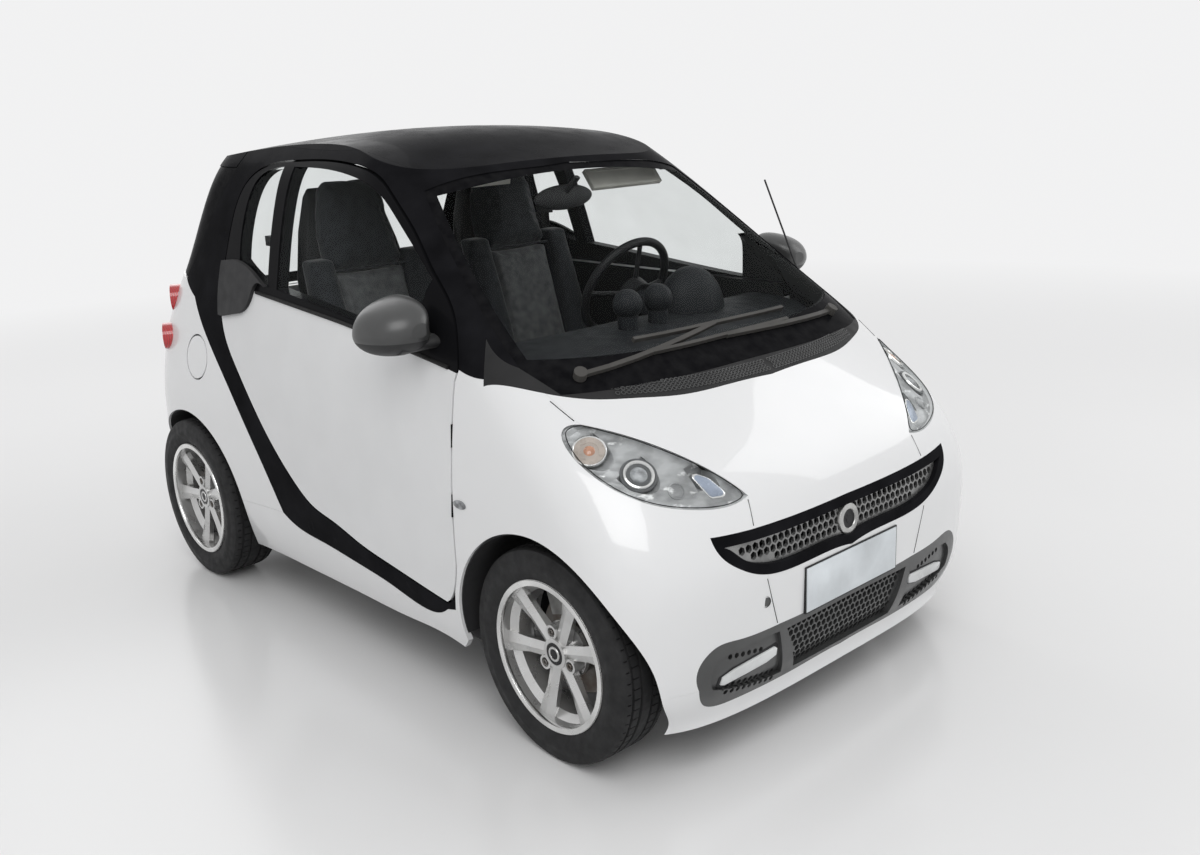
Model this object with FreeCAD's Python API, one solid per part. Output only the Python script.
import FreeCAD, Part
import math
import os

os.makedirs("parts", exist_ok=True)
V = FreeCAD.Vector

# A two-seat microcar, in millimetres. The nose points to -Y and the right side to -X.
# The tyres stand on z = 0, and the origin is on the floor below the middle of the body.

# Driving sizes of the car
FRONT_OVERHANG = 400.0
WHEELBASE = 1867.0
REAR_OVERHANG = 428.0
BODY_WIDTH = 1559.0
HEIGHT = 1542.0
FRONT_TRACK = 1283.0
REAR_TRACK = 1385.0
FRONT_TYRE_DIAMETER = 567.0
FRONT_TYRE_WIDTH = 155.0
REAR_TYRE_DIAMETER = 573.5
REAR_TYRE_WIDTH = 175.0
FRONT_ARCH_MARGIN = 44.0
REAR_ARCH_MARGIN = 39.0
MIRROR_REACH = 96.0

# Wall thicknesses
PANEL = 16.0
WALL = 55.0
DOOR_WALL = 72.0
DOOR_FRAME = 40.0
ROOF_PANEL = 30.0
GLASS = 5.0
GLASS_SINK = 3.0
SHEET = 4.0

# Gaps and cuts
FIT = 0.3
DOOR_GAP = 6.5
LID_GAP = 6.0
DOOR_STEP = 15.0
PIN_FIT = 0.35
OVERRUN = 20.0

# Places worked out from the driving sizes
LENGTH = FRONT_OVERHANG + WHEELBASE + REAR_OVERHANG
HALF_LENGTH = LENGTH / 2
HALF_WIDTH = BODY_WIDTH / 2
NOSE_Y = -HALF_LENGTH
FRONT_AXLE_Y = NOSE_Y + FRONT_OVERHANG
REAR_AXLE_Y = FRONT_AXLE_Y + WHEELBASE
FRONT_AXLE_Z = FRONT_TYRE_DIAMETER / 2
REAR_AXLE_Z = REAR_TYRE_DIAMETER / 2
FRONT_ARCH_RADIUS = FRONT_AXLE_Z + FRONT_ARCH_MARGIN
REAR_ARCH_RADIUS = REAR_AXLE_Z + REAR_ARCH_MARGIN


def along(share):
    """Place along the car: -1 is the nose, 0 the front axle, 1 the rear axle and 2 the tail."""
    if share < 0:
        return FRONT_AXLE_Y + share * FRONT_OVERHANG
    if share > 1:
        return REAR_AXLE_Y + (share - 1) * REAR_OVERHANG
    return FRONT_AXLE_Y + share * WHEELBASE


def high(share):
    """Height above the floor, as a share of the car's height."""
    return share * HEIGHT


def wide(share):
    """Distance from the middle plane, as a share of half the body's width."""
    return share * HALF_WIDTH


# Body skin. Each row gives, from the floor up: height and half width at the doors, then station, height,
# corner depth and corner power at the nose, and the same four at the tail.
SKIN_SHARES = (
    (0.091, 0.877, -0.916, 0.091, 1.0, 4.0, 1.824, 0.091, 0.943, 3.6),
    (0.15, 0.922, -0.966, 0.15, 1.0, 4.2, 1.945, 0.15, 0.971, 3.6),
    (0.217, 0.942, -0.994, 0.22, 1.0, 4.2, 1.992, 0.214, 1.0, 3.6),
    (0.285, 0.948, -1.0, 0.289, 1.0, 4.2, 2.0, 0.279, 1.0, 3.4),
    (0.35, 0.949, -0.996, 0.35, 1.0, 4.0, 1.996, 0.344, 1.0, 3.4),
    (0.415, 0.947, -0.936, 0.412, 1.029, 3.5, 1.978, 0.405, 0.914, 3.4),
    (0.48, 0.939, -0.801, 0.477, 1.057, 3.0, 1.945, 0.467, 0.886, 3.5),
    (0.545, 0.925, -0.544, 0.538, 1.057, 2.7, 1.908, 0.529, 0.886, 3.5),
    (0.61, 0.904, -0.231, 0.598, 1.014, 2.6, 1.861, 0.59, 0.914, 3.3),
    (0.674, 0.876, 0.031, 0.663, 0.971, 2.6, 1.791, 0.655, 0.943, 3.0),
    (0.739, 0.845, 0.114, 0.732, 0.929, 2.6, 1.707, 0.72, 0.943, 2.7),
    (0.804, 0.812, 0.197, 0.801, 0.871, 2.6, 1.613, 0.786, 0.914, 2.6),
    (0.869, 0.771, 0.28, 0.87, 0.8, 2.6, 1.508, 0.856, 0.857, 2.6),
    (0.921, 0.726, 0.352, 0.93, 0.714, 2.6, 1.408, 0.916, 0.8, 2.6),
    (0.96, 0.667, 0.392, 0.964, 0.686, 2.6, 1.324, 0.96, 0.743, 2.6),
    (1.012, 0.423, 0.454, 1.012, 0.629, 2.6, 1.211, 1.012, 0.686, 2.6),
)
NOSE_CORNER = 350.0
TAIL_CORNER = 350.0
FRONT_FLARE = 12.0
REAR_FLARE = 42.0
FRONT_FLARE_LENGTH = 330.0
REAR_FLARE_LENGTH = 340.0
FRONT_FLARE_RISE = 260.0
REAR_FLARE_RISE_BELOW = 250.0
REAR_FLARE_RISE_ABOVE = 400.0
FLARE_HEIGHT_SHARE = 0.27
CORNER_STEPS = 8
SIDE_STEPS = 9

# Roof: height at even stations from ahead of the nose to behind the tail, and the drop of its edges
ROOF_HEIGHT_SHARES = (0.765, 0.801, 0.837, 0.872, 0.906, 0.942, 0.986, 1.0, 0.997, 0.986, 0.969, 0.946, 0.921)
ROOF_REACH = 1500.0
ROOF_HALF_WIDTH = 820.0
ROOF_CAMBER = 85.0
ROOF_CROSS_STEPS = 4


def flare(y, z):
    """How far the arches swell out of the side at a place."""
    middle = high(FLARE_HEIGHT_SHARE)
    rear_rise = REAR_FLARE_RISE_BELOW if z < middle else REAR_FLARE_RISE_ABOVE
    ahead, behind = (y - FRONT_AXLE_Y) / FRONT_FLARE_LENGTH, (y - REAR_AXLE_Y) / REAR_FLARE_LENGTH
    front = math.exp(-(ahead**2) - ((z - middle) / FRONT_FLARE_RISE) ** 2)
    rear = math.exp(-(behind**2) - ((z - middle) / rear_rise) ** 2)
    return FRONT_FLARE * front + REAR_FLARE * rear


def half_width_at(y, z):
    """Half the body's width at a place along the doors."""
    below = max(row for row in SKIN_SHARES if high(row[0]) <= z)
    above = min(row for row in SKIN_SHARES if high(row[0]) > z)
    part = (z - high(below[0])) / (high(above[0]) - high(below[0]))
    return wide(below[1]) + (wide(above[1]) - wide(below[1])) * part + flare(y, z)


def corner_points(end_y, end_z, depth, power, side_z, half_width, inward):
    """A rounded corner in plan, from the middle to the side. inward is 1 at the nose and -1 at the tail."""
    points = []
    for step in range(CORNER_STEPS + 1):
        turn = step / CORNER_STEPS
        angle = math.radians(90) * turn
        reach = (math.sin(angle) ** power + math.cos(angle) ** power) ** (-1 / power)
        y = end_y + inward * depth * (1 - reach * math.cos(angle))
        z = end_z + (side_z - end_z) * turn
        points.append(V((half_width + flare(y, z)) * reach * math.sin(angle), y, z))
    return points


def skin_ring(row):
    """One ring of the skin, from the middle of the tail round the nose and back."""
    side_z = high(row[0])
    half_width = wide(row[1])
    nose_y, nose_z, nose_depth = along(row[2]), high(row[3]), NOSE_CORNER * row[4]
    tail_y, tail_z, tail_depth = along(row[6]), high(row[7]), TAIL_CORNER * row[8]
    half = corner_points(nose_y, nose_z, nose_depth, row[5], side_z, half_width, 1)
    first, last = nose_y + nose_depth, tail_y - tail_depth
    for step in range(1, SIDE_STEPS):
        y = first + (last - first) * step / SIDE_STEPS
        half.append(V(half_width + flare(y, side_z), y, side_z))
    half += reversed(corner_points(tail_y, tail_z, tail_depth, row[9], side_z, half_width, -1))
    return [V(-p.x, p.y, p.z) for p in reversed(half)] + half[1:]


def through(grid):
    """A smooth surface through a grid of points."""
    surface = Part.BSplineSurface()
    surface.interpolate(grid)
    return surface


SKIN_GRID = [skin_ring(row) for row in SKIN_SHARES]
SKIN = through(SKIN_GRID)


def closed(surface):
    """The solid between a ring-shaped surface and the flat faces on its two end rings."""
    side = surface.toShape()
    caps = [Part.Face(Part.Wire([e])) for e in side.Edges if e.BoundBox.ZLength < FIT]
    shell = Part.Shell([side] + caps)
    shell.sewShape()
    return Part.Solid(shell)


def skin_column(inset):
    """The skin with its normals followed inwards by inset, closed below and above."""
    if inset == 0:
        return closed(SKIN)
    grid = []
    for number, ring in enumerate(SKIN_GRID):
        end = -1 if number == 0 else 1 if number == len(SKIN_GRID) - 1 else 0
        places = [point + inward * inset for point, inward in zip(ring, INWARD[number])]
        grid.append([V(place.x, place.y, place.z + end * OVERRUN) for place in places])
    return closed(through(grid))


def inward_normals():
    """The inward directions of the skin at its grid points, level on the first and last rings."""
    middle = len(SKIN_GRID[0]) // 2
    rings = []
    for number, ring in enumerate(SKIN_GRID):
        level = number in (0, len(SKIN_GRID) - 1)
        normals = [SKIN.normal(*SKIN.parameter(point)) for point in ring]
        if level:
            normals = [V(n.x, n.y, 0).normalize() for n in normals]
        if normals[middle].y < 0:
            normals = [n * -1 for n in normals]
        for place in (0, middle, -1):
            normals[place] = V(0, normals[place].y, normals[place].z).normalize()
        rings.append(normals)
    return rings


INWARD = inward_normals()


def below_roof(inset):
    """Everything below the roof surface, which is set down by inset."""
    grid = []
    for number, share in enumerate(ROOF_HEIGHT_SHARES):
        y = -ROOF_REACH + 2 * ROOF_REACH * number / (len(ROOF_HEIGHT_SHARES) - 1)
        line = []
        for step in range(-ROOF_CROSS_STEPS, ROOF_CROSS_STEPS + 1):
            side = step / ROOF_CROSS_STEPS
            line.append(V(ROOF_HALF_WIDTH * side, y, high(share) - inset - ROOF_CAMBER * side * side))
        grid.append(line)
    return through(grid).toShape().extrude(V(0, 0, -2 * HEIGHT))


def right_half():
    """A box round the right half of the car."""
    return Part.makeBox(2 * HALF_WIDTH, 2 * LENGTH, 2 * HEIGHT, V(-2 * HALF_WIDTH, -LENGTH, -HEIGHT / 2))


BODIES = {}


def body(inset, half=True):
    """The body's volume at a depth below the skin, whole or its right half."""
    if (inset, False) not in BODIES:
        BODIES[(inset, False)] = skin_column(inset).common(below_roof(inset))
    if half and (inset, True) not in BODIES:
        BODIES[(inset, True)] = BODIES[(inset, False)].common(right_half())
    return BODIES[(inset, half)]


LAYERS = {}


def layer(outer, inner, half=True):
    """The shell between two depths below the skin."""
    key = (outer, inner, half)
    if key not in LAYERS:
        LAYERS[key] = body(outer, half).cut(body(inner, half))
    return LAYERS[key]


# Outlines are runs of points: two are a straight run, more are a smooth curve, and runs meet at corners.


def run_curve(points):
    """One run as a curve."""
    if len(points) == 2:
        return Part.LineSegment(points[0], points[1])
    curve = Part.BSplineCurve()
    curve.interpolate(points)
    return curve


def run_tangents(points):
    """The directions of a run at its points."""
    curve = run_curve(points)
    if len(points) == 2:
        straight = (points[1] - points[0]).normalize()
        return [straight, straight]
    return [V(curve.tangent(curve.parameter(p))[0]) for p in points]


def moved_runs(runs, inset, axis):
    """The runs moved inwards by inset, with their corners mitred."""
    flat = [p for run in runs for p in run[:-1]]
    area = V(0, 0, 0)
    for number, point in enumerate(flat):
        area += flat[number - 1].cross(point)
    turn = 1 if area.dot(axis) > 0 else -1
    tangents = [run_tangents(run) for run in runs]
    inward = [[axis.cross(t) * turn for t in line] for line in tangents]
    moved = []
    for number, run in enumerate(runs):
        before, after = inward[number - 1][-1], inward[(number + 1) % len(runs)][0]
        line = [p + n * inset for p, n in zip(run, inward[number])]
        first, last = inward[number][0], inward[number][-1]
        line[0] = run[0] + (before + first) * (inset / (1 + before.dot(first)))
        line[-1] = run[-1] + (after + last) * (inset / (1 + after.dot(last)))
        moved.append(line)
    return moved


def prism(runs, axis, inset, depth):
    """The outline, moved inwards by inset, drawn out along depth."""
    if inset:
        runs = moved_runs(runs, inset, axis)
    wire = Part.Wire([run_curve(run).toShape() for run in runs])
    return Part.Face(wire).extrude(depth)


def side_prism(shares, inset=0.0, near=None, far=0.0):
    """An outline of (station, height) shares in side view, drawn through the right side from near to far."""
    x = -2 * HALF_WIDTH if near is None else near
    runs = [[V(x, along(a), high(b)) for a, b in run] for run in shares]
    return prism(runs, V(1, 0, 0), inset, V(far - x, 0, 0))


def front_prism(shares, inset, near, far):
    """An outline of (width, height) shares in front view, drawn from near to far along Y."""
    runs = [[V(wide(a), near, high(b)) for a, b in run] for run in shares]
    return prism(runs, V(0, 1, 0), inset, V(0, far - near, 0))


def top_prism(shares, inset, near, far):
    """An outline of (width, station) shares in top view, drawn from height near to height far."""
    runs = [[V(wide(a), along(b), near) for a, b in run] for run in shares]
    return prism(runs, V(0, 0, 1), inset, V(0, 0, far - near))


def both_sides(runs):
    """A right half of a front or top view outline, open at the middle plane, made whole by its image."""
    other = [tuple((-a, b) for a, b in reversed(run)) for run in reversed(runs)]
    return tuple(runs) + tuple(other)


def mirrored(shape):
    return shape.mirror(V(0, 0, 0), V(1, 0, 0))


def one(shape):
    """The largest solid of a shape."""
    return max(shape.Solids, key=lambda solid: solid.Volume)


def box(x0, x1, y0, y1, z0, z1):
    return Part.makeBox(x1 - x0, y1 - y0, z1 - z0, V(x0, y0, z0))


def rod(start, end, radius):
    """A round bar between two points."""
    return Part.makeCylinder(radius, (end - start).Length, start, end - start)


def fused(shapes):
    return shapes[0].multiFuse(shapes[1:]).removeSplitter()


def save(name, shape):
    """Write one sub-part."""
    shape.exportStep(os.path.join("parts", name + ".step"))


def save_pair(name, shape):
    """Write a sub-part of the right side and its mirror image on the left."""
    save(name + "_right", shape)
    save(name + "_left", mirrored(shape))


def x_disc(x0, x1, y, z, radius):
    """A disc about an axis along X."""
    return Part.makeCylinder(radius, x1 - x0, V(x0, y, z), V(1, 0, 0))


def turned(profile, y, z):
    """A solid turned about the X axis line at y, z, from (x, radius) pairs."""
    points = [V(x, y, z + radius) for x, radius in profile]
    face = Part.Face(Part.makePolygon(points + points[:1]))
    return face.revolve(V(0, y, z), V(1, 0, 0), 360)


def place(shares):
    """A point from its (width, station, height) shares."""
    return V(wide(shares[0]), along(shares[1]), high(shares[2]))


def share_box(shares):
    """A box from the width, station and height shares of its faces."""
    x0, x1, y0, y1, z0, z1 = shares
    return box(wide(x0), wide(x1), along(y0), along(y1), high(z0), high(z1))


def ellipsoid(centre, size_x, size_y, size_z):
    """A ball stretched to three half sizes."""
    scale = FreeCAD.Matrix()
    scale.scale(size_x, size_y, size_z)
    shape = Part.makeSphere(1).transformGeometry(scale)
    shape.translate(centre)
    return shape


# Body outlines
DOOR_SHARES = (
    ((0.165, 0.631), (0.171, 0.61)),
    ((0.171, 0.61), (0.171, 0.292)),
    ((0.171, 0.292), (0.178, 0.256), (0.19, 0.227), (0.205, 0.211)),
    ((0.205, 0.211), (0.247, 0.216), (0.341, 0.23), (0.442, 0.248), (0.512, 0.268), (0.579, 0.284),
     (0.628, 0.317), (0.684, 0.372), (0.749, 0.451), (0.806, 0.523), (0.849, 0.579), (0.876, 0.642)),
    ((0.876, 0.642), (0.88, 0.7), (0.877, 0.766), (0.872, 0.816), (0.862, 0.872), (0.84, 0.91),
     (0.799, 0.935), (0.724, 0.946), (0.615, 0.949), (0.518, 0.942), (0.449, 0.925), (0.396, 0.889),
     (0.319, 0.825), (0.264, 0.772), (0.208, 0.719), (0.165, 0.631)),
)
WINDOW_SHARES = (
    ((0.277, 0.657), (0.258, 0.763)),
    ((0.258, 0.763), (0.306, 0.805), (0.366, 0.855), (0.433, 0.902), (0.501, 0.923), (0.59, 0.935),
     (0.701, 0.938)),
    ((0.701, 0.938), (0.685, 0.702)),
    ((0.685, 0.702), (0.566, 0.689), (0.443, 0.674), (0.277, 0.657)),
)
QUARTER_WINDOW_SHARES = (
    ((0.717, 0.704), (0.735, 0.938)),
    ((0.735, 0.938), (0.778, 0.931), (0.811, 0.911), (0.825, 0.878), (0.831, 0.824), (0.83, 0.778),
     (0.826, 0.747)),
    ((0.826, 0.747), (0.775, 0.721), (0.717, 0.704)),
)
FRAME_SHARES = (
    ((0.052, 0.639), (0.127, 0.702), (0.208, 0.776), (0.336, 0.887), (0.4, 0.947), (0.475, 0.979)),
    ((0.475, 0.979), (0.615, 1.018), (0.9, 1.018)),
    ((0.9, 1.018), (0.9, 0.953)),
    ((0.9, 0.953), (0.921, 0.891), (0.96, 0.816), (1.001, 0.744), (1.137, 0.689)),
    ((1.137, 0.689), (1.083, 0.677), (0.987, 0.655)),
    ((0.987, 0.655), (0.952, 0.607), (0.896, 0.546), (0.832, 0.472), (0.78, 0.398), (0.728, 0.313),
     (0.687, 0.236)),
    ((0.687, 0.236), (0.645, 0.217), (0.558, 0.208), (0.454, 0.198), (0.359, 0.186), (0.291, 0.172),
     (0.258, 0.171), (0.208, 0.195)),
    ((0.208, 0.195), (0.186, 0.202)),
    ((0.186, 0.202), (0.176, 0.272), (0.175, 0.519), (0.173, 0.61), (0.165, 0.631)),
    ((0.165, 0.631), (0.108, 0.623), (0.052, 0.639)),
)
WING_SHARES = (
    ((0.165, 0.631), (0.173, 0.61), (0.175, 0.519), (0.176, 0.272), (0.186, 0.202)),
    ((0.186, 0.202), (0.175, 0.196)),
    ((0.175, 0.196), (0.025, 0.17)),
    ((0.025, 0.17), (-1.381, 0.17)),
    ((-1.381, 0.17), (-1.381, 0.639)),
    ((-1.381, 0.639), (0.052, 0.639)),
    ((0.052, 0.639), (0.108, 0.623), (0.165, 0.631)),
)
SILL_SHARES = (
    ((0.175, 0.196), (0.186, 0.202)),
    ((0.186, 0.202), (0.208, 0.195)),
    ((0.208, 0.195), (0.258, 0.171), (0.291, 0.172), (0.359, 0.186), (0.454, 0.198), (0.558, 0.208),
     (0.645, 0.217), (0.687, 0.236)),
    ((0.687, 0.236), (0.893, 0.222)),
    ((0.893, 0.222), (0.893, 0.104)),
    ((0.893, 0.104), (0.785, 0.115), (0.647, 0.117), (0.487, 0.121), (0.343, 0.124), (0.223, 0.129),
     (0.19, 0.123)),
    ((0.19, 0.123), (0.164, 0.156)),
    ((0.164, 0.156), (0.175, 0.196)),
)
REAR_WING_SHARES = (
    ((0.687, 0.236), (0.728, 0.313), (0.78, 0.398), (0.832, 0.472), (0.896, 0.546), (0.952, 0.607),
     (0.987, 0.655)),
    ((0.987, 0.655), (1.083, 0.677), (1.137, 0.689)),
    ((1.137, 0.689), (1.328, 0.699)),
    ((1.328, 0.699), (2.239, 0.707)),
    ((2.239, 0.707), (2.239, 0.337)),
    ((2.239, 0.337), (1.188, 0.337)),
    ((1.188, 0.337), (0.893, 0.222)),
    ((0.893, 0.222), (0.687, 0.236)),
)
HATCH_SHARES = (
    ((0.903, 1.038), (0.903, 0.953)),
    ((0.903, 0.953), (0.924, 0.891), (0.963, 0.816), (1.015, 0.744), (1.151, 0.694)),
    ((1.151, 0.694), (1.333, 0.704)),
    ((1.333, 0.704), (2.239, 0.711)),
    ((2.239, 0.711), (2.239, 1.038)),
    ((2.239, 1.038), (0.903, 1.038)),
)
HATCH_FOOT_SHARES = (
    ((0.0, 0.612), (-0.487, 0.616), (-0.641, 0.629), (-0.77, 0.661), (-0.821, 0.704)),
    ((-0.821, 0.704), (-0.821, 0.726)),
    ((-0.821, 0.726), (0.0, 0.726)),
)
TAILGATE_SHARES = (
    ((0.0, 0.608), (-0.154, 0.608), (-0.308, 0.608), (-0.436, 0.604), (-0.539, 0.591), (-0.593, 0.563),
     (-0.611, 0.512), (-0.608, 0.46), (-0.593, 0.402), (-0.564, 0.345)),
    ((-0.564, 0.345), (0.0, 0.341)),
)
HOOD_SHARES = (
    ((0.0, 0.639), (-0.821, 0.639)),
    ((-0.821, 0.639), (-0.784, 0.566)),
    ((-0.784, 0.566), (-0.67, 0.542), (-0.543, 0.499), (-0.44, 0.447)),
    ((-0.44, 0.447), (-0.455, 0.401)),
    ((-0.455, 0.401), (-0.231, 0.398), (0.0, 0.398)),
)
LAMP_SHARES = (
    ((-0.784, 0.566), (-0.67, 0.542), (-0.543, 0.499), (-0.44, 0.447)),
    ((-0.44, 0.447), (-0.513, 0.441), (-0.659, 0.449), (-0.767, 0.466), (-0.831, 0.49),
     (-0.856, 0.522), (-0.84, 0.556), (-0.784, 0.566)),
)
UPPER_GRILLE_SHARES = (
    ((0.0, 0.398), (-0.231, 0.398), (-0.455, 0.401), (-0.631, 0.407)),
    ((-0.631, 0.407), (-0.611, 0.376), (-0.559, 0.353), (-0.475, 0.331), (-0.33, 0.318), (0.0, 0.311)),
)
CENTRE_SHARES = (
    ((0.0, 0.363), (-0.457, 0.363)),
    ((-0.457, 0.363), (-0.375, 0.23)),
    ((-0.375, 0.23), (-0.18, 0.227), (0.0, 0.226)),
)
LOWER_GRILLE_SHARES = (
    ((0.0, 0.226), (-0.18, 0.227), (-0.375, 0.23), (-0.564, 0.235), (-0.648, 0.236), (-0.7, 0.22),
     (-0.708, 0.17)),
    ((-0.708, 0.17), (-0.667, 0.133), (-0.539, 0.122), (-0.257, 0.121), (0.0, 0.121)),
)
LOWER_MESH_SHARES = (
    ((0.0, 0.217), (-0.336, 0.215)),
    ((-0.336, 0.215), (-0.272, 0.131)),
    ((-0.272, 0.131), (0.0, 0.13)),
)
LAMP_POCKET_SHARES = (
    ((-0.372, 0.216), (-0.513, 0.218), (-0.631, 0.214)),
    ((-0.631, 0.214), (-0.667, 0.188), (-0.654, 0.162)),
    ((-0.654, 0.162), (-0.513, 0.144), (-0.336, 0.133)),
    ((-0.336, 0.133), (-0.372, 0.216)),
)
COWL_SHARES = (
    ((0.0, -0.336), (-0.231, -0.321), (-0.426, -0.281), (-0.577, -0.186), (-0.693, -0.076),
     (-0.783, 0.017), (-0.84, 0.052), (-0.898, 0.108)),
    ((-0.898, 0.108), (-0.821, 0.138)),
    ((-0.821, 0.138), (-0.811, 0.076), (-0.731, 0.036), (-0.616, 0.005), (-0.489, -0.056),
     (-0.257, -0.096), (0.0, -0.111)),
)
WINDSCREEN_SHARES = (
    ((0.0, 0.929), (-0.325, 0.923), (-0.513, 0.914), (-0.639, 0.899)),
    ((-0.639, 0.899), (-0.693, 0.843), (-0.742, 0.776), (-0.785, 0.702), (-0.811, 0.639)),
    ((-0.811, 0.639), (-0.77, 0.603)),
    ((-0.77, 0.603), (0.0, 0.603)),
)
ROOF_SHARES = (
    ((0.0, 0.362), (-0.257, 0.366), (-0.462, 0.38), (-0.613, 0.41)),
    ((-0.613, 0.41), (-0.641, 0.507), (-0.641, 0.722), (-0.623, 0.9)),
    ((-0.623, 0.9), (0.0, 0.9)),
)
MIRROR_PLACE_SHARES = (-1.014, 0.234, 0.697)
HANDLE_SHARES = (
    ((0.884, 0.743), (0.85, 0.747), (0.824, 0.747), (0.797, 0.741), (0.768, 0.73), (0.743, 0.717),
     (0.719, 0.704)),
    ((0.719, 0.704), (0.761, 0.691), (0.768, 0.671), (0.776, 0.658), (0.789, 0.647), (0.804, 0.641),
     (0.829, 0.636), (0.856, 0.63), (0.875, 0.631)),
    ((0.875, 0.631), (0.885, 0.687), (0.884, 0.743)),
)
FLOOR_SHARES = (
    ((0.162, 0.123), (0.749, 0.123)),
    ((0.749, 0.123), (0.791, 0.327)),
    ((0.791, 0.327), (1.8, 0.327)),
    ((1.8, 0.327), (1.8, 0.35)),
    ((1.8, 0.35), (0.775, 0.35)),
    ((0.775, 0.35), (0.727, 0.195)),
    ((0.727, 0.195), (0.175, 0.195)),
    ((0.175, 0.195), (0.175, 0.584)),
    ((0.175, 0.584), (0.162, 0.584)),
    ((0.162, 0.584), (0.162, 0.123)),
)
DASHBOARD_SHARES = (
    ((0.052, 0.597), (0.133, 0.621), (0.186, 0.628), (0.24, 0.628), (0.275, 0.616), (0.299, 0.584)),
    ((0.299, 0.584), (0.293, 0.506), (0.256, 0.447), (0.208, 0.422)),
    ((0.208, 0.422), (0.175, 0.422)),
    ((0.175, 0.422), (0.175, 0.584)),
    ((0.175, 0.584), (0.058, 0.584)),
    ((0.058, 0.584), (0.052, 0.597)),
)
SEAT_SIDE_SHARES = (
    ((0.449, 0.272), (0.419, 0.285), (0.408, 0.324), (0.427, 0.36), (0.486, 0.37), (0.55, 0.363),
     (0.604, 0.363)),
    ((0.604, 0.363), (0.636, 0.415), (0.663, 0.506), (0.69, 0.616), (0.714, 0.72), (0.726, 0.798),
     (0.732, 0.863), (0.749, 0.905), (0.775, 0.911), (0.794, 0.875)),
    ((0.794, 0.875), (0.79, 0.798), (0.778, 0.7), (0.754, 0.571), (0.727, 0.441), (0.706, 0.337),
     (0.684, 0.272)),
    ((0.684, 0.272), (0.449, 0.272)),
)


# How far the outlines are drawn along Y and Z
NOSE_NEAR = -LENGTH
FRONT_FACE_END = FRONT_AXLE_Y + FRONT_OVERHANG / 4
WINDSCREEN_END = 0.0
REAR_FACE_START = REAR_AXLE_Y + REAR_OVERHANG / 4
TAIL_FAR = LENGTH
ROOF_NEAR = HEIGHT * 3 / 4
COWL_NEAR = HEIGHT / 2
FRONT_ARCH_DEPTH = FRONT_TRACK / 2 - FRONT_TYRE_WIDTH * 8 / 5
REAR_ARCH_DEPTH = REAR_TRACK / 2 - REAR_TYRE_WIDTH * 3 / 4

FRONT_ARCH = x_disc(-2 * HALF_WIDTH, -FRONT_ARCH_DEPTH, FRONT_AXLE_Y, FRONT_AXLE_Z, FRONT_ARCH_RADIUS)
REAR_ARCH = x_disc(-2 * HALF_WIDTH, -REAR_ARCH_DEPTH, REAR_AXLE_Y, REAR_AXLE_Z, REAR_ARCH_RADIUS)


def nose_prism(shares, inset):
    return front_prism(both_sides(shares), inset, NOSE_NEAR, FRONT_FACE_END)


def tail_prism(shares, inset):
    return front_prism(both_sides(shares), inset, REAR_FACE_START, TAIL_FAR)


def windscreen_prism(inset):
    return front_prism(both_sides(WINDSCREEN_SHARES), inset, NOSE_NEAR, WINDSCREEN_END)


def cowl_prism(inset):
    return top_prism(both_sides(COWL_SHARES), inset, COWL_NEAR, 2 * HEIGHT)


def roof_prism(inset):
    return top_prism(both_sides(ROOF_SHARES), inset, ROOF_NEAR, 2 * HEIGHT)


def hatch_prism(inset):
    """The opening rear window: all behind the rear pillars, and its foot between the tail's corners."""
    sides = side_prism(HATCH_SHARES, inset, None, 2 * HALF_WIDTH)
    return sides.fuse(tail_prism(HATCH_FOOT_SHARES, inset))


# Doors: an outer skin, a stepped-in inner part that clears the jambs as it swings, and two window openings
BELT_SHARE = 0.655
DOOR_BITE = PANEL / 2


def make_doors():
    skin = layer(0, PANEL).common(side_prism(DOOR_SHARES))
    inner = side_prism(DOOR_SHARES, DOOR_STEP)
    below_belt = box(-LENGTH, 0, -LENGTH, LENGTH, 0, high(BELT_SHARE))
    low = layer(DOOR_BITE, DOOR_WALL).common(inner).common(below_belt)
    top = layer(DOOR_BITE, DOOR_FRAME).common(inner)
    door = skin.fuse(low).fuse(top)
    for window in (WINDOW_SHARES, QUARTER_WINDOW_SHARES):
        door = door.cut(side_prism(window))
    save_pair("door", one(door))
    glass = layer(GLASS_SINK, GLASS_SINK + GLASS)
    main = one(glass.common(side_prism(WINDOW_SHARES, FIT)))
    quarter = one(glass.common(side_prism(QUARTER_WINDOW_SHARES, FIT)))
    save_pair("door_glass", Part.makeCompound([main, quarter]))


make_doors()


# Hinges: pins in the gaps of doors, rear window, tailgate and fuel flap, on webs from the cell
HINGE_LENGTH = 60.0
LID_HINGE_LENGTH = 160.0
WEB = 2.6
WEB_REACH = 46.0
FOOT_DEPTH = 24.0
DOOR_HINGE_LOW_SHARE = 0.4
DOOR_HINGE_HIGH_SHARE = 0.52
DOOR_FRONT_Y = along(DOOR_SHARES[1][0][0])
DOOR_HINGE_Y = DOOR_FRONT_Y - DOOR_GAP / 2
DOOR_PIN_RADIUS = DOOR_GAP / 2 - PIN_FIT
LID_PIN_RADIUS = LID_GAP / 2 - PIN_FIT
HATCH_HINGE_Y = along(HATCH_SHARES[0][0][0]) - LID_GAP / 2
TAILGATE_HINGE_Z = high(TAILGATE_SHARES[1][1][1]) - LID_GAP / 2
TAILGATE_HINGE_Y = along(2.0) - LID_PIN_RADIUS
BUMPER_TOP = TAILGATE_HINGE_Z - LID_GAP / 2
FLAP_RADIUS = 72.0
FLAP_WALL = 6.0
FLAP_STATION_SHARE = 0.958
FLAP_HEIGHT_SHARE = 0.526
FLAP_HINGE_LENGTH = 16.0
FLAP_Y = along(FLAP_STATION_SHARE)
FLAP_Z = high(FLAP_HEIGHT_SHARE)
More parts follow.
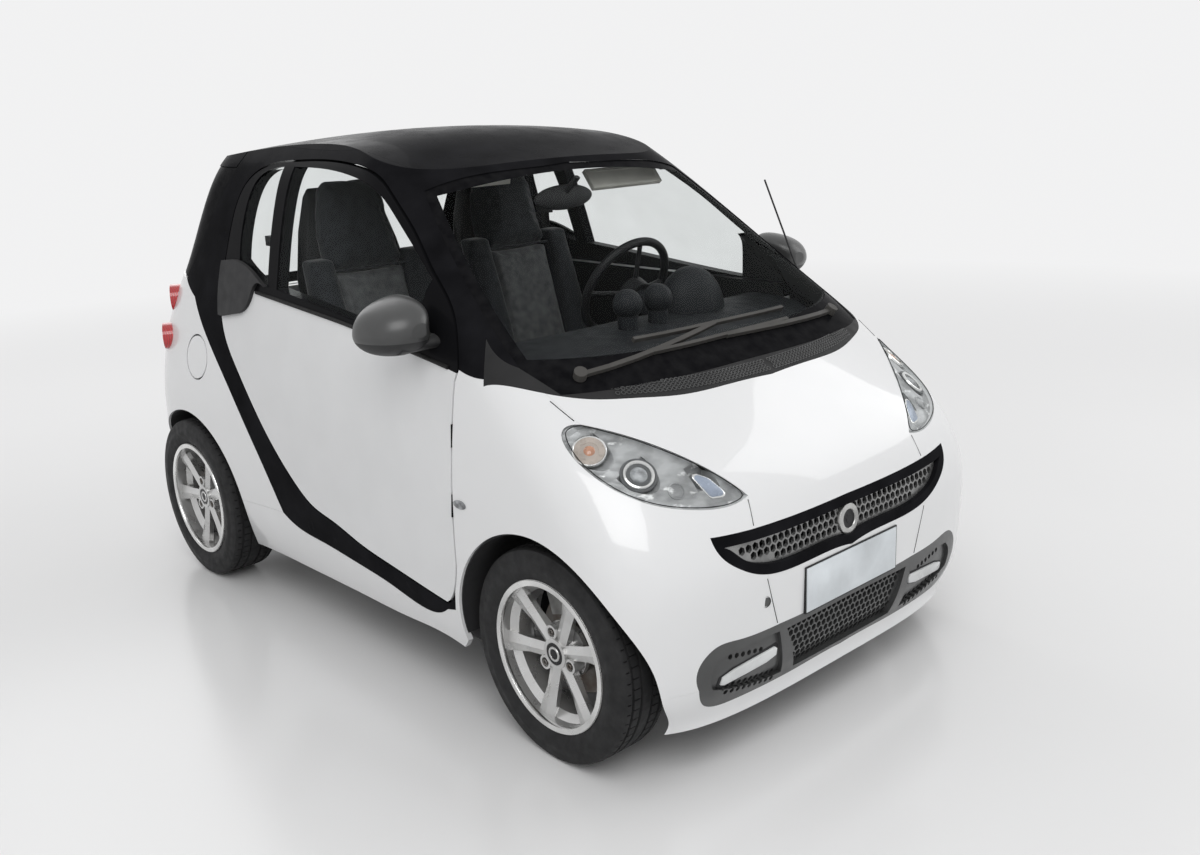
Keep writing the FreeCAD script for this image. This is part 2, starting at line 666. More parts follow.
FLAP_HINGE_Y = FLAP_Y - FLAP_RADIUS - LID_GAP / 2


def roof_height(y):
    """Height of the roof's middle line, between its even stations."""
    place = (y + ROOF_REACH) / (2 * ROOF_REACH) * (len(ROOF_HEIGHT_SHARES) - 1)
    first = int(place)
    low, up = ROOF_HEIGHT_SHARES[first], ROOF_HEIGHT_SHARES[first + 1]
    return high(low + (up - low) * (place - first))


HATCH_HINGE_Z = roof_height(HATCH_HINGE_Y) + WEB / 2


def door_hinge_point(height_share):
    z = high(height_share)
    return V(-half_width_at(DOOR_HINGE_Y, z), DOOR_HINGE_Y, z)


def flap_hinge_point():
    return V(-half_width_at(FLAP_HINGE_Y, FLAP_Z), FLAP_HINGE_Y, FLAP_Z)


def upright_pin(middle, direction, length, radius, reach, foot):
    """A pin along a gap, with a web inboard and a foot forward onto the pillar."""
    half = length / 2
    pin = rod(middle - direction * half, middle + direction * half, radius)
    x, y, z = middle.x, middle.y, middle.z
    web = box(x, x + reach, y - WEB / 2, y + WEB / 2, z - half, z + half)
    shapes = [pin, web]
    if foot:
        shapes.append(box(x + FOOT_DEPTH, x + reach, y - foot, y + WEB / 2, z - half, z + half))
    return shapes[0].multiFuse(shapes[1:])


def door_hinges():
    low, up = door_hinge_point(DOOR_HINGE_LOW_SHARE), door_hinge_point(DOOR_HINGE_HIGH_SHARE)
    direction = (up - low).normalize()
    sizes = (HINGE_LENGTH, DOOR_PIN_RADIUS, WEB_REACH, DOOR_GAP * 2)
    return [upright_pin(p, direction, *sizes) for p in (low, up)]


def lid_hinges():
    half = LID_HINGE_LENGTH / 2
    pin = x_disc(-half, half, HATCH_HINGE_Y, HATCH_HINGE_Z, LID_PIN_RADIUS)
    y0, y1 = HATCH_HINGE_Y - WEB / 2, HATCH_HINGE_Y + WEB / 2
    web = box(-half, half, y0, y1, HATCH_HINGE_Z - WEB_REACH, HATCH_HINGE_Z)
    foot_top = HATCH_HINGE_Z - ROOF_PANEL - WEB
    foot = box(-half, half, HATCH_HINGE_Y - DOOR_GAP * 2, HATCH_HINGE_Y, HATCH_HINGE_Z - WEB_REACH, foot_top)
    low_pin = x_disc(-half, half, TAILGATE_HINGE_Y, TAILGATE_HINGE_Z, LID_PIN_RADIUS)
    reach = TAILGATE_HINGE_Y - WEB_REACH
    z0, z1 = TAILGATE_HINGE_Z - WEB / 2, TAILGATE_HINGE_Z + WEB / 2
    low_web = box(-half, half, reach, TAILGATE_HINGE_Y, z0, z1)
    foot_z = BUMPER_TOP - DOOR_GAP * 2
    low_foot = box(-half, half, reach, TAILGATE_HINGE_Y - FOOT_DEPTH, foot_z, TAILGATE_HINGE_Z)
    return [pin.multiFuse([web, foot]), low_pin.multiFuse([low_web, low_foot])]


# Safety cell: pillars, roof rails, the band under the doors, and the beams and inner walls that join them
RAIL_INNER = 470.0
BEAM_DEPTH = 26.0
POST_REACH = 110.0
HEADER_REACH = 120.0
RAIL_FLOOR_SHARE = 0.84
TAIL_BEAM_HEIGHT = 80.0


def make_cell():
    side = layer(0, WALL).common(side_prism(FRAME_SHARES, FIT))
    side = side.cut(side_prism(DOOR_SHARES, -DOOR_GAP))
    side = side.cut(box(-RAIL_INNER, 0, -LENGTH, LENGTH, high(RAIL_FLOOR_SHARE), 2 * HEIGHT))
    inner = layer(PANEL + FIT, WALL)
    post_y = DOOR_FRONT_Y - DOOR_GAP
    post = inner.common(box(-LENGTH, 0, post_y - POST_REACH, post_y, 0, high(DOOR_SHARES[0][0][1])))
    quarter = inner.common(side_prism(REAR_WING_SHARES)).cut(tail_prism(TAILGATE_SHARES, -LID_GAP))
    side = side.multiFuse([post, quarter] + door_hinges())
    flap_radius = LID_GAP / 2 - PIN_FIT
    flap_pin = upright_pin(flap_hinge_point(), V(0, 0, 1), FLAP_HINGE_LENGTH, flap_radius, FOOT_DEPTH, 0)
    side = side.fuse(flap_pin).cut(FRONT_ARCH).cut(REAR_ARCH)
    whole = layer(ROOF_PANEL + FIT, ROOF_PANEL + BEAM_DEPTH, False)
    header_y = along(ROOF_SHARES[0][0][1])
    tail_y = along(ROOF_SHARES[2][0][1])
    rail = RAIL_INNER + WALL / 2
    crown = layer(0, ROOF_PANEL + BEAM_DEPTH, False)
    y0, y1 = header_y - BEAM_DEPTH, header_y + HEADER_REACH
    header = crown.common(box(-rail, rail, y0, y1, ROOF_NEAR, 2 * HEIGHT))
    rear = whole.common(box(-rail, rail, tail_y - HEADER_REACH, tail_y, ROOF_NEAR, 2 * HEIGHT))
    back = layer(PANEL + FIT, WALL, False)
    beam = back.common(box(-rail, rail, REAR_AXLE_Y, TAIL_FAR, BUMPER_TOP - TAIL_BEAM_HEIGHT, BUMPER_TOP))
    cell = side.multiFuse([mirrored(side), header, rear, beam] + lid_hinges())
    cell = cell.cut(windscreen_prism(-FIT)).cut(cowl_prism(-FIT))
    cell = cell.cut(roof_prism(-FIT).cut(body(ROOF_PANEL + FIT, False)))
    return one(cell)


save("safety_cell", make_cell())


# Front panels
LIP_TOP_SHARE = 0.17
GRILLE_DEPTH = 26.0
GRILLE_RIM = 26.0
MESH_DEPTH = 13.0
MESH_THICK = 8.0
UPPER_PITCH = 23.0
LOWER_PITCH = 21.0
MESH_BAR = 4.5
POCKET_DEPTH = 11.0
VENT_SIZE = 7.5
VENT_PITCH = 21.0
VENT_ROWS_SHARES = (
    (6,    ((-0.58, 0.206))),
    (10,    ((-0.611, 0.158))),
    (9,    ((-0.598, 0.148))),
)
VENT_DROP_SHARE = 0.16
LAMP_DEPTH = 70.0
LAMP_COVER = 4.0
LAMP_AIR = 6.0
PROJECTOR_SHARES = (-0.734, -0.551, 0.503)
TURN_LAMP_SHARES = (-0.808, -0.294, 0.536)
BEZEL_RADIUS = 45.0
PROJECTOR_RADIUS = 33.0
TURN_LAMP_RADIUS = 36.0
LAMP_POCKET = 46.0
LENS_BULGE = 12.0
REFLECTOR_SHARES = (-0.593, -0.511, -1.131, -0.606, 0.466, 0.499)


def hexagon(x, y, z, size):
    turns = [math.radians(60 * corner) for corner in range(7)]
    return Part.makePolygon([V(x + size * math.sin(turn), y, z + size * math.cos(turn)) for turn in turns])


def hexagon_bar(x, z, size):
    return Part.Face(hexagon(x, NOSE_NEAR, z, size)).extrude(V(0, FRONT_FACE_END - NOSE_NEAR, 0))


def honeycomb(region, pitch):
    """Six-sided bars on a comb about the middle plane, all that fit whole inside a region seen from ahead."""
    bounds = region.BoundBox
    face = min(region.Faces, key=lambda side: side.CenterOfMass.y)
    size = (pitch - MESH_BAR) / math.sqrt(3)
    rise = pitch * math.sqrt(3) / 2
    middle = (bounds.ZMin + bounds.ZMax) / 2
    rows = math.ceil((bounds.ZMax - middle) / rise)
    columns = math.ceil(bounds.XMax / pitch)
    bars = []
    for row in range(-rows, rows + 1):
        for column in range(-columns - 1, columns + 1):
            x, z = (column + (row % 2) / 2) * pitch, middle + row * rise
            corners = [vertex.Point for vertex in hexagon(x, face.CenterOfMass.y, z, size).Vertexes]
            if all(face.isInside(corner, FIT, True) for corner in corners):
                bars.append(hexagon_bar(x, z, size))
    return bars


def vent_bars():
    """The rows of small six-sided holes above and below the right fog lamp."""
    bars = []
    for count, shares in VENT_ROWS_SHARES:
        x, z = wide(shares[0]), high(shares[1])
        for n in range(count):
            bars.append(hexagon_bar(x + n * VENT_PITCH, z - n * VENT_PITCH * VENT_DROP_SHARE, VENT_SIZE))
    return bars


def make_grilles():
    layer_front = layer(0, GRILLE_DEPTH, False)
    opening = nose_prism(UPPER_GRILLE_SHARES, GRILLE_RIM)
    save("upper_grille", one(layer_front.common(nose_prism(UPPER_GRILLE_SHARES, FIT)).cut(opening)))
    sheet = layer(MESH_DEPTH, MESH_DEPTH + MESH_THICK, False).common(opening)
    save("upper_mesh", one(sheet.cut(Part.makeCompound(honeycomb(opening, UPPER_PITCH)))))
    lower = layer_front.common(nose_prism(LOWER_GRILLE_SHARES, FIT))
    pocket = layer(0, POCKET_DEPTH).common(front_prism(LAMP_POCKET_SHARES, 0.0, NOSE_NEAR, FRONT_FACE_END))
    mesh_region = nose_prism(LOWER_MESH_SHARES, 0.0)
    recess = layer(0, MESH_DEPTH, False).common(mesh_region)
    lower = lower.cut(pocket).cut(mirrored(pocket)).cut(recess)
    vents = vent_bars()
    bars = honeycomb(mesh_region, LOWER_PITCH) + vents + [mirrored(bar) for bar in vents]
    save("lower_grille", one(lower.cut(Part.makeCompound(bars))))


def lamp_pocket(place_shares, radius):
    """A round pocket along Y in a headlamp's bowl, with the bulging lens at its bottom."""
    mouth = place(place_shares)
    bottom = mouth + V(0, LAMP_POCKET, 0)
    pocket = rod(bottom, V(mouth.x, NOSE_NEAR, mouth.z), BEZEL_RADIUS)
    ball = (radius ** 2 + LENS_BULGE ** 2) / (2 * LENS_BULGE)
    barrel_end = bottom - V(0, LAMP_POCKET / 3, 0)
    barrel = rod(bottom, barrel_end, radius)
    lens = Part.makeSphere(ball, barrel_end + V(0, ball - LENS_BULGE, 0))
    lens = lens.common(rod(bottom, V(mouth.x, NOSE_NEAR, mouth.z), radius))
    return pocket.cut(barrel.fuse(lens))


def make_headlamps():
    outline = front_prism(LAMP_SHARES, FIT, NOSE_NEAR, FRONT_FACE_END)
    save_pair("headlamp", one(layer(0, LAMP_COVER).common(outline)))
    bowl = layer(LAMP_COVER + LAMP_AIR, LAMP_DEPTH).common(outline)
    for place_shares, radius in ((PROJECTOR_SHARES, PROJECTOR_RADIUS), (TURN_LAMP_SHARES, TURN_LAMP_RADIUS)):
        bowl = bowl.cut(lamp_pocket(place_shares, radius))
    bowl = one(bowl.cut(share_box(REFLECTOR_SHARES)))
    save("lamp_bowls", Part.makeCompound([bowl, mirrored(bowl)]))


def make_front():
    front = layer(0, PANEL, False)
    save("hood", one(front.common(nose_prism(HOOD_SHARES, FIT)).cut(cowl_prism(-FIT))))
    panel = front.common(nose_prism(CENTRE_SHARES, FIT))
    save("front_panel", one(panel.cut(nose_prism(UPPER_GRILLE_SHARES, -FIT))))
    lip = front.common(box(-LENGTH, LENGTH, NOSE_NEAR, FRONT_AXLE_Y, -HEIGHT, high(LIP_TOP_SHARE)))
    lip = lip.cut(nose_prism(LOWER_GRILLE_SHARES, 0.0))
    save("front_lip", one(lip.cut(FRONT_ARCH).cut(mirrored(FRONT_ARCH))))
    wing = layer(0, PANEL).common(side_prism(WING_SHARES, FIT))
    for shares in (HOOD_SHARES, CENTRE_SHARES, UPPER_GRILLE_SHARES, LOWER_GRILLE_SHARES):
        wing = wing.cut(nose_prism(shares, 0.0))
    wing = wing.cut(front_prism(LAMP_SHARES, 0.0, NOSE_NEAR, FRONT_FACE_END))
    wing = wing.cut(side_prism(DOOR_SHARES, -DOOR_GAP))
    save_pair("front_wing", one(wing.cut(cowl_prism(0.0)).cut(FRONT_ARCH)))
    save("cowl", one(front.common(cowl_prism(FIT)).cut(windscreen_prism(0.0))))
    glass = layer(GLASS_SINK, GLASS_SINK + GLASS, False)
    save("windscreen", one(glass.common(windscreen_prism(FIT))))


make_front()
make_grilles()
make_headlamps()
save("roof_panel", one(layer(0, ROOF_PANEL, False).common(roof_prism(FIT)).cut(windscreen_prism(-FIT))))


# Sills, rear wings, bumper, tailgate, rear window and spoiler
BUMPER_FOOT_SHARE = 0.12
SPOILER_FOOT_SHARE = 0.934
TAIL_LAMP_RADIUS = 47.0
TAIL_LAMP_DEPTH = 36.0
TAIL_LAMP_PLACES_SHARES = ((-0.704, 1.246, 0.639), (-0.765, 1.246, 0.553))
TAIL_LAMP_PROUD = 14.0
TAIL_LAMP_TURN = 60.0


def flap_disc(radius):
    return x_disc(-2 * HALF_WIDTH, -HALF_WIDTH / 2, FLAP_Y, FLAP_Z, radius)


def lamp_rod(number, radius):
    """One tail lamp's round bar, through the corner of the right rear wing."""
    turn = math.radians(TAIL_LAMP_TURN)
    outward = V(-math.sin(turn), math.cos(turn), 0)
    inside = place(TAIL_LAMP_PLACES_SHARES[number])
    line = Part.makeLine(inside, inside + outward * LENGTH).common(body(0))
    centre = max((vertex.Point for vertex in line.Vertexes), key=lambda point: point.y)
    return rod(centre - outward * WALL, centre + outward * TAIL_LAMP_PROUD, radius)


def make_rear():
    half = layer(0, PANEL)
    sill = one(half.common(side_prism(SILL_SHARES, FIT)).cut(FRONT_ARCH).cut(REAR_ARCH))
    save("sill_covers", Part.makeCompound([sill, mirrored(sill)]))
    hatch_gap = hatch_prism(-LID_GAP)
    wing = half.common(side_prism(REAR_WING_SHARES, FIT)).cut(REAR_ARCH)
    wing = wing.cut(tail_prism(TAILGATE_SHARES, -LID_GAP)).cut(hatch_gap)
    for number in range(len(TAIL_LAMP_PLACES_SHARES)):
        wing = wing.cut(lamp_rod(number, TAIL_LAMP_RADIUS + FIT))
    wing = one(wing)
    save("rear_wing_left", mirrored(wing))
    save("rear_wing_right", one(wing.cut(flap_disc(FLAP_RADIUS + LID_GAP))))
    save("fuel_flap", one(layer(0, FLAP_WALL).common(flap_disc(FLAP_RADIUS))))
    whole = layer(0, PANEL, False)
    bumper = whole.common(box(-LENGTH, LENGTH, REAR_AXLE_Y, TAIL_FAR, high(BUMPER_FOOT_SHARE), BUMPER_TOP))
    save("rear_bumper", one(bumper.cut(REAR_ARCH).cut(mirrored(REAR_ARCH))))
    save("tailgate", one(whole.common(tail_prism(TAILGATE_SHARES, 0.0))))
    hatch = hatch_prism(0.0)
    foot = high(SPOILER_FOOT_SHARE)
    pane = layer(GLASS_SINK, GLASS_SINK + GLASS, False).common(hatch)
    save("rear_window", one(pane.cut(box(-LENGTH, LENGTH, -LENGTH, LENGTH, foot - FIT, 2 * HEIGHT))))
    crown = layer(0, ROOF_PANEL, False).common(hatch)
    save("rear_spoiler", one(crown.cut(box(-LENGTH, LENGTH, -LENGTH, LENGTH, -HEIGHT, foot))))


make_rear()


# Tail lamps: round lenses that stand out of the rear corners


def make_tail_lamps():
    lamps = [one(lamp_rod(number, TAIL_LAMP_RADIUS).cut(body(PANEL))) for number in (0, 1)]
    save("tail_lamps", Part.makeCompound(lamps + [mirrored(lamp) for lamp in lamps]))


make_tail_lamps()


# Mirrors and door handles. The mirror's outline is in shares of its half width and half height, seen from
# ahead, and its bulge in shares of its depth and of that outline, from the glass to the nose.
MIRROR_WIDTH = 180.0
MIRROR_HEIGHT = 150.0
MIRROR_DEPTH = 142.0
MIRROR_OUTLINE_SHARES = (
    (-1.0, -0.15), (-0.88, 0.3), (-0.5, 0.72), (0.05, 0.96), (0.6, 1.0), (0.93, 0.78),
    (1.0, 0.05), (0.93, -0.68), (0.5, -0.97), (-0.2, -0.97), (-0.76, -0.68),
)
MIRROR_BULGE_SHARES = ((0.0, 0.97), (0.14, 1.0), (0.42, 0.95), (0.7, 0.79), (0.9, 0.53), (1.0, 0.24))
MIRROR_NOSE_SHARE = 0.3
MIRROR_BEZEL = 9.0
MIRROR_GLASS_SINK = 5.0
MIRROR_ARM_SHARES = ((-1.026, 0.233, 0.667), (-0.77, 0.233, 0.667))
MIRROR_ARM_HALF_Y = 42.0
MIRROR_ARM_HALF_Z = 19.0
HANDLE_RISE = 12.0


def mirror_ring(centre, depth, size_x, size_z):
    """The mirror's outline at a depth ahead of its glass, drawn to two half sizes."""
    ahead = centre - V(0, depth, 0)
    points = [ahead + V(a * size_x, 0, b * size_z) for a, b in MIRROR_OUTLINE_SHARES]
    curve = Part.BSplineCurve()
    curve.interpolate(Points=points, PeriodicFlag=True)
    return Part.Wire([curve.toShape()])


def make_door_fittings():
    centre = place(MIRROR_PLACE_SHARES)
    half_x, half_z = MIRROR_WIDTH / 2, MIRROR_HEIGHT / 2
    centre.x = -(HALF_WIDTH + MIRROR_REACH - half_x)
    centre.y += MIRROR_DEPTH / 2
    rings = []
    for depth, size in MIRROR_BULGE_SHARES:
        middle = centre + V(half_x * MIRROR_NOSE_SHARE * (1 - size), 0, 0)
        rings.append(mirror_ring(middle, MIRROR_DEPTH * depth, half_x * size, half_z * size))
    shell = Part.makeLoft(rings, True, False)
    rim_x, rim_z = half_x - MIRROR_BEZEL, half_z - MIRROR_BEZEL
    glass = Part.Face(mirror_ring(centre, 0, rim_x, rim_z)).extrude(V(0, -MIRROR_GLASS_SINK, 0))
    start, end = [place(shares) for shares in MIRROR_ARM_SHARES]
    oval = Part.Ellipse(start + V(0, MIRROR_ARM_HALF_Y, 0), start + V(0, 0, MIRROR_ARM_HALF_Z), start)
    arm = Part.Face(Part.Wire([oval.toShape()])).extrude(end - start)
    save_pair("mirror", one(shell.fuse(arm).cut(glass).cut(body(0))))
    save_pair("door_handle", one(layer(-HANDLE_RISE, 0).common(side_prism(HANDLE_SHARES))))


make_door_fittings()


# Wheels. Across is measured outward from the wheel's middle.
RIM_DIAMETER = 381.0
FRONT_RIM_WIDTH = 114.0
REAR_RIM_WIDTH = 140.0
RIM_LIP = 11.0
RIM_WALL = 6.0
RIM_DROP = 18.0
RIM_WELL = 24.0
RIM_SLOPE = 10.0
TREAD_SHARE = 0.8
SHOULDER_SHARES = (1.0, 0.64)
FLANK_SHARES = (0.97, 0.31)
FACE_SINK = 6.0
HUB_SINK = 5.0
HUB_THICK = 51.0
HUB_RADIUS = 40.0
PAD_RADIUS = 76.0
PAD_THICK = 12.0
SPOKE_PAIRS = 3
FIRST_SPOKE_ANGLE = 78.0
SPOKE_SPLAY = 35.0
SPOKE_FOOT = (38.0, 36.0, 9.0)
SPOKE_MIDDLE = (40.0, 28.0, 9.0)
SPOKE_TIP = (58.0, 26.0, 5.0)
SPOKE_SINK = 3.0
SPOKE_BOW = 5.0
SPOKE_BACK_SHARE = 0.72
BOLT_CIRCLE = 112.0
BOLT_HOLE = 26.0
BOLT_BOSS = 19.0
BOLT_SEAT = 14.0
CAP_DIAMETER = 60.0
CAP_SINK = 3.0


def tyre_points(diameter, width, rim_width):
    """Half of a tyre's section, from the tread to the bead."""
    seat = RIM_DIAMETER / 2
    section = diameter / 2 - seat
    half = width / 2
    shoulder = (half * SHOULDER_SHARES[0], seat + section * SHOULDER_SHARES[1])
    flank = (half * FLANK_SHARES[0], seat + section * FLANK_SHARES[1])
    return [(half * TREAD_SHARE, diameter / 2), shoulder, flank, (rim_width / 2, seat)]


def mirrored_points(points):
    return points + [(-x, radius) for x, radius in reversed(points)]


def spoke_section(x, reach, size):
    """A spoke's section at a reach from the hub's middle. Its size is width, depth and ridge height."""
    width, depth, ridge = size
    half, back = width / 2, width / 2 * SPOKE_BACK_SHARE
    corners = [(ridge, -half), (0, 0), (ridge, half), (depth, back), (depth, -back), (ridge, -half)]
    return Part.makePolygon([V(x + down, reach, across) for down, across in corners])


def make_rim(diameter, width, rim_width, centre):
    """A cast wheel with three pairs of ridged spokes, on the right side of the car."""
    half_tyre = tyre_points(diameter, width, rim_width)
    flank, bead = half_tyre[2], half_tyre[3]
    lean = (flank[0] - bead[0]) / (flank[1] - bead[1])
    seat = bead[1] - FIT
    half = bead[0] + FIT
    lip = half + lean * RIM_LIP
    outside = [(RIM_WELL, seat - RIM_DROP), (RIM_WELL + RIM_SLOPE, seat), (half, seat), (lip, seat + RIM_LIP)]
    inside = [
        (lip + RIM_WALL, seat + RIM_LIP),
        (half + RIM_WALL, seat - RIM_WALL),
        (RIM_WELL + RIM_SLOPE + RIM_WALL, seat - RIM_WALL),
        (RIM_WELL, seat - RIM_DROP - RIM_WALL),
    ]
    ring = outside + inside + [(-x, r) for x, r in reversed(inside)] + [(-x, r) for x, r in reversed(outside)]
    barrel = turned([(centre.x - x, r) for x, r in ring], centre.y, centre.z)
    face_x = centre.x - half + FACE_SINK
    hub_x = face_x + HUB_SINK
    back_x = hub_x + HUB_THICK
    spoke = Part.makeLoft(
        [
            spoke_section(hub_x + SPOKE_SINK, 0, SPOKE_FOOT),
            spoke_section(hub_x + SPOKE_SINK, HUB_RADIUS, SPOKE_FOOT),
            spoke_section(face_x + SPOKE_BOW, (HUB_RADIUS + seat) / 2, SPOKE_MIDDLE),
            spoke_section(face_x, seat - RIM_WALL / 2, SPOKE_TIP),
        ],
        True,
        True,
    )
    spoke.translate(V(0, centre.y, centre.z))
    shapes = [barrel, x_disc(back_x - PAD_THICK, back_x, centre.y, centre.z, PAD_RADIUS)]
    holes = [x_disc(centre.x - rim_width, hub_x + CAP_SINK, centre.y, centre.z, CAP_DIAMETER / 2)]
    for number in range(SPOKE_PAIRS):
        middle = FIRST_SPOKE_ANGLE + 360 / SPOKE_PAIRS * number
        angle = math.radians(middle)
        bolt_y = centre.y + BOLT_CIRCLE / 2 * math.cos(angle)
        bolt_z = centre.z + BOLT_CIRCLE / 2 * math.sin(angle)
        shapes.append(x_disc(hub_x + SPOKE_SINK, back_x, bolt_y, bolt_z, BOLT_BOSS))
        holes.append(x_disc(centre.x - rim_width, hub_x + BOLT_SEAT, bolt_y, bolt_z, BOLT_HOLE / 2))
        for side in (-1, 1):
            shapes.append(spoke.rotated(centre, V(1, 0, 0), middle + side * SPOKE_SPLAY))
    hub = x_disc(hub_x, back_x, centre.y, centre.z, HUB_RADIUS)
    wheel = hub.multiFuse(shapes)
    for hole in holes:
        wheel = wheel.cut(hole)
    return wheel, back_x


BRAKE_DISC_RADIUS = 130.0
BRAKE_DISC_THICK = 10.0
BRAKE_HAT_RADIUS = 72.0
BRAKE_HAT_DEPTH = 38.0
DRUM_RADIUS = 112.0
DRUM_DEPTH = 62.0


def make_wheels():
    """All four wheels, and where the hub faces of a front and a rear wheel are."""
    faces = []
    for end, diameter, width, rim_width, track, y in (
        ("front", FRONT_TYRE_DIAMETER, FRONT_TYRE_WIDTH, FRONT_RIM_WIDTH, FRONT_TRACK, FRONT_AXLE_Y),
        ("rear", REAR_TYRE_DIAMETER, REAR_TYRE_WIDTH, REAR_RIM_WIDTH, REAR_TRACK, REAR_AXLE_Y),
    ):
        centre = V(-track / 2, y, diameter / 2)
        section = mirrored_points(tyre_points(diameter, width, rim_width))
        save_pair("tyre_" + end, turned([(centre.x - x, r) for x, r in section], centre.y, centre.z))
        wheel, face_x = make_rim(diameter, width, rim_width, centre)
        save_pair("rim_" + end, one(wheel))
        faces.append(face_x + FIT)
    x = faces[0]
    hat = x_disc(x, x + BRAKE_HAT_DEPTH, FRONT_AXLE_Y, FRONT_AXLE_Z, BRAKE_HAT_RADIUS)
    plate_x = x + BRAKE_HAT_DEPTH - BRAKE_DISC_THICK
    plate = x_disc(plate_x, x + BRAKE_HAT_DEPTH, FRONT_AXLE_Y, FRONT_AXLE_Z, BRAKE_DISC_RADIUS)
    save_pair("brake_disc", hat.fuse(plate))
    x = faces[1]
    save_pair("brake_drum", x_disc(x, x + DRUM_DEPTH, REAR_AXLE_Y, REAR_AXLE_Z, DRUM_RADIUS))
    return faces


HUB_FACES = make_wheels()


# Steering knuckles, with strut, lower leg and brake calliper. The steering axis leans in towards its top.
KINGPIN_LOW_SHARES = (-0.742, 0.0, 0.123)
STRUT_LOW_SHARES = (-0.677, 0.0, 0.214)
STRUT_TOP_SHARES = (-0.621, 0.0, 0.481)
BALL_RADIUS = 12.0
STRUT_RADIUS = 22.0
CARRIER_RADIUS = 46.0
CARRIER_GAP = 0.4
RUNNING_GAP = 5.0
UPRIGHT_HALF = 26.0
UPRIGHT_DEPTH = 36.0
TYRE_CLEARANCE = 8.0
CALLIPER_ANGLE = 72.0
CALLIPER_HALF = 48.0
CALLIPER_INNER = 84.0
CALLIPER_OUTER = 154.0
CALLIPER_WALL = 14.0
UPRIGHT_TOP_SHARE = 0.235
UPRIGHT_FOOT_SHARE = 0.15
AXLE_START = V(0, FRONT_AXLE_Y, FRONT_AXLE_Z)


def make_calliper(disc_x):
    """A calliper over the disc's edge, with the bracket that carries it, above and behind the hub."""
    x0 = disc_x - BRAKE_DISC_THICK - RUNNING_GAP - CALLIPER_WALL
    x1 = disc_x + RUNNING_GAP + CALLIPER_WALL
    y0, y1 = FRONT_AXLE_Y - CALLIPER_HALF, FRONT_AXLE_Y + CALLIPER_HALF
    block = box(x0, x1, y0, y1, FRONT_AXLE_Z + CALLIPER_INNER, FRONT_AXLE_Z + CALLIPER_OUTER)
    block = block.common(x_disc(x0, x1, FRONT_AXLE_Y, FRONT_AXLE_Z, CALLIPER_OUTER))
    slot_x = x0 + CALLIPER_WALL
    slot_radius = BRAKE_DISC_RADIUS + RUNNING_GAP
    block = block.cut(x_disc(slot_x, x1 - CALLIPER_WALL, FRONT_AXLE_Y, FRONT_AXLE_Z, slot_radius))
    bracket_x, bracket_top = x1 - CALLIPER_WALL, FRONT_AXLE_Z + CALLIPER_INNER
    bracket = box(bracket_x, x1, y0 + CALLIPER_WALL, y1 - CALLIPER_WALL, FRONT_AXLE_Z, bracket_top)
    calliper = block.fuse(bracket)
    calliper.rotate(AXLE_START, V(1, 0, 0), CALLIPER_ANGLE - 90)
    return calliper


def make_knuckle():
    disc_x = HUB_FACES[0] + BRAKE_HAT_DEPTH
    inner_x = -FRONT_TRACK / 2 + FRONT_TYRE_WIDTH / 2 + TYRE_CLEARANCE
    x0, x1 = disc_x + CARRIER_GAP, inner_x + UPRIGHT_DEPTH / 2
    carrier = x_disc(x0, x1, FRONT_AXLE_Y, FRONT_AXLE_Z, CARRIER_RADIUS)
    y0, y1 = FRONT_AXLE_Y - UPRIGHT_HALF, FRONT_AXLE_Y + UPRIGHT_HALF
    upright = box(inner_x, inner_x + UPRIGHT_DEPTH, y0, y1, high(UPRIGHT_FOOT_SHARE), high(UPRIGHT_TOP_SHARE))
    ball = place(KINGPIN_LOW_SHARES)
    leg = rod(ball, V(ball.x, ball.y, FRONT_AXLE_Z), BALL_RADIUS)
    top = place(STRUT_TOP_SHARES)
    strut = rod(place(STRUT_LOW_SHARES), top, STRUT_RADIUS)
    joints = [Part.makeSphere(BALL_RADIUS, ball), Part.makeSphere(STRUT_RADIUS, top)]
    save_pair("knuckle", one(carrier.multiFuse([upright, leg, strut, make_calliper(disc_x)] + joints)))


make_knuckle()


# Front subframe: rails, front cross member, lower arms, strut towers and steering rack
RAIL_SHARES = (-0.494, -0.423, -0.731, 0.162, 0.106, 0.15)
CROSS_SHARES = (-0.494, 0.0, -0.786, -0.661, 0.097, 0.123)
TOWER_SHARES = (-0.498, -0.436, -0.094, 0.02, 0.106, 0.503)
TOWER_REACH = 135.0
RACK_SHARES = (-0.494, -0.281, 0.161)
RACK_RADIUS = 26.0
ARM_THICK = 14.0
ARM_EYE = 13.0
ARM_SHARES = (
    ((-0.742, -0.033), (-0.742, 0.007), (-0.686, 0.009), (-0.449, 0.064), (-0.449, -0.15),
     (-0.686, -0.041))
)


def make_subframe():
    ball = place(KINGPIN_LOW_SHARES)
    arm_top = ball.z - BALL_RADIUS - FIT
    corners = [V(wide(a), along(b), arm_top) for a, b in ARM_SHARES]
    arm = Part.Face(Part.makePolygon(corners + corners[:1])).extrude(V(0, 0, -ARM_THICK))
    arm = arm.fuse(Part.makeCylinder(ARM_EYE, ARM_THICK, V(ball.x, ball.y, arm_top - ARM_THICK)))
    seat = place(STRUT_TOP_SHARES).z + STRUT_RADIUS + FIT
    tower = share_box(TOWER_SHARES).BoundBox
    plate = box(tower.XMin - TOWER_REACH, tower.XMax, tower.YMin, tower.YMax, seat, seat + ARM_THICK)
    rack_end = place(RACK_SHARES)
    rack = rod(rack_end, V(0, rack_end.y, rack_end.z), RACK_RADIUS)
    boxes = [share_box(shares) for shares in (CROSS_SHARES, TOWER_SHARES)]
    half = share_box(RAIL_SHARES).multiFuse(boxes + [plate, arm, rack])
    save("front_subframe", one(half.fuse(mirrored(half))))


make_subframe()


